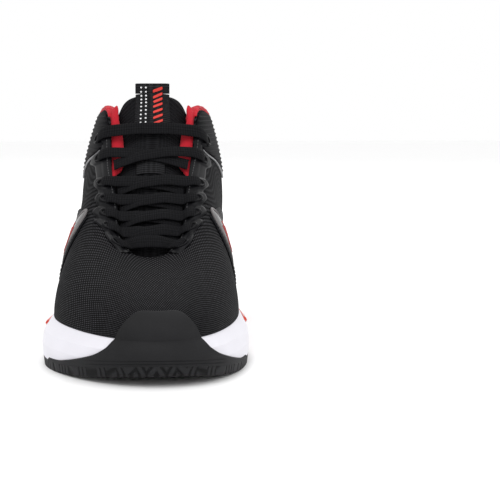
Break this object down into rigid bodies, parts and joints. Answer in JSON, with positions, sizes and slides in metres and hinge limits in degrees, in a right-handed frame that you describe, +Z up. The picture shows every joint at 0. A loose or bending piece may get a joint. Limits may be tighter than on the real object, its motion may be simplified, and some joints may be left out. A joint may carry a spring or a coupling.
{
  "type": "basketball high top",
  "caption": "Black knit basketball high top with a thick white cupped midsole, toe rubber, padded collar, heel band and a hinged tongue.",
  "frame": {"origin": "centre of the bounding box in plan, on the ground plane under the outsole", "axes": "+Z up; the toe points along -Y and the heel along +Y; +X is the medial side of this right shoe"},
  "size_m": [0.1123, 0.3031, 0.1512],
  "materials": {
    "aglet_clear": "film",
    "badge_grey": "translucent film",
    "band_red": "translucent gloss",
    "board_textile": "non-woven",
    "foam_white": "satin moulded foam skin",
    "knit_black": "knit mesh",
    "label_grey": "woven label",
    "lace_black": "flat woven",
    "liner_textile": "brushed knit",
    "lining_red": "brushed tricot",
    "mark_red": "moulded rubber print",
    "pad_foam": "open foam",
    "ring_red": "moulded, satin",
    "rubber_black": "matt moulded rubber",
    "shank_grey": "textured moulded plastic",
    "stiffener": "pressed fibre",
    "synthetic_black": "embossed synthetic",
    "tongue_textile": "diagonal rib knit",
    "webbing_black": "ribbed webbing"
  },
  "bodies": {
    "root": {"aglet_lateral": "aglet_clear", "aglet_medial": "aglet_clear", "ankle_ring_insert_lateral": "knit_black", "ankle_ring_insert_medial": "knit_black", "ankle_ring_lateral": "ring_red", "ankle_ring_medial": "ring_red", "arch_clip_lateral": "shank_grey", "arch_shank": "shank_grey", "collar_foam_lateral": "pad_foam", "collar_foam_medial": "pad_foam", "collar_lining_lateral": "lining_red", "collar_lining_medial": "lining_red", "collar_piping_lateral": "synthetic_black", "collar_piping_medial": "synthetic_black", "collar_roll": "lining_red", "collar_wing_lateral": "synthetic_black", "collar_wing_medial": "synthetic_black", "eyestay_lateral": "synthetic_black", "eyestay_medial": "synthetic_black", "forefoot_stripe_lateral": "band_red", "forefoot_stripe_medial": "band_red", "heel_band": "band_red", "heel_cover": "synthetic_black", "heel_emblem": "mark_red", "heel_panel_lateral": "synthetic_black", "heel_panel_medial": "synthetic_black", "heel_piping_lateral": "synthetic_black", "heel_piping_medial": "synthetic_black", "heel_pull_tab": "webbing_black", "heel_stiffener": "stiffener", "lace": "lace_black", "lace_tail_lateral": "lace_black", "lace_tail_medial": "lace_black", "midsole": "foam_white", "outsole_forefoot": "rubber_black", "outsole_heel": "rubber_black", "quarter_lateral": "knit_black", "quarter_medial": "knit_black", "saddle_lateral": "synthetic_black", "saddle_medial": "synthetic_black", "side_badge_lateral": "badge_grey", "side_badge_medial": "badge_grey", "sockliner": "liner_textile", "strobel_board": "board_textile", "toe_bumper": "rubber_black", "toe_puff": "stiffener", "vamp_lining": "lining_red", "vamp_mesh": "knit_black"},
    "tongue": {"tongue_shell": "tongue_textile", "tongue_foam": "pad_foam", "tongue_lining": "tongue_textile", "tongue_label": "label_grey", "lace_keeper": "synthetic_black", "tongue_tab_strap": "webbing_black"},
    "pull_loop": {"tongue_pull_loop": "webbing_black"}
  },
  "joints": [
    {"name": "tongue_tilt", "type": "hinge", "parent": "root", "child": "tongue", "pos_m": [0.002, -0.058, 0.046], "axis": [-1, 0, 0], "range_deg": [0, 8], "stiffness_Nm_per_rad": 0.6},
    {"name": "pull_loop_flap", "type": "hinge", "parent": "tongue", "child": "pull_loop", "pos_m": [0.0045, 0.046, 0.1455], "axis": [1, 0, 0], "range_deg": [-25, 15], "stiffness_Nm_per_rad": 0.01}
  ]
}
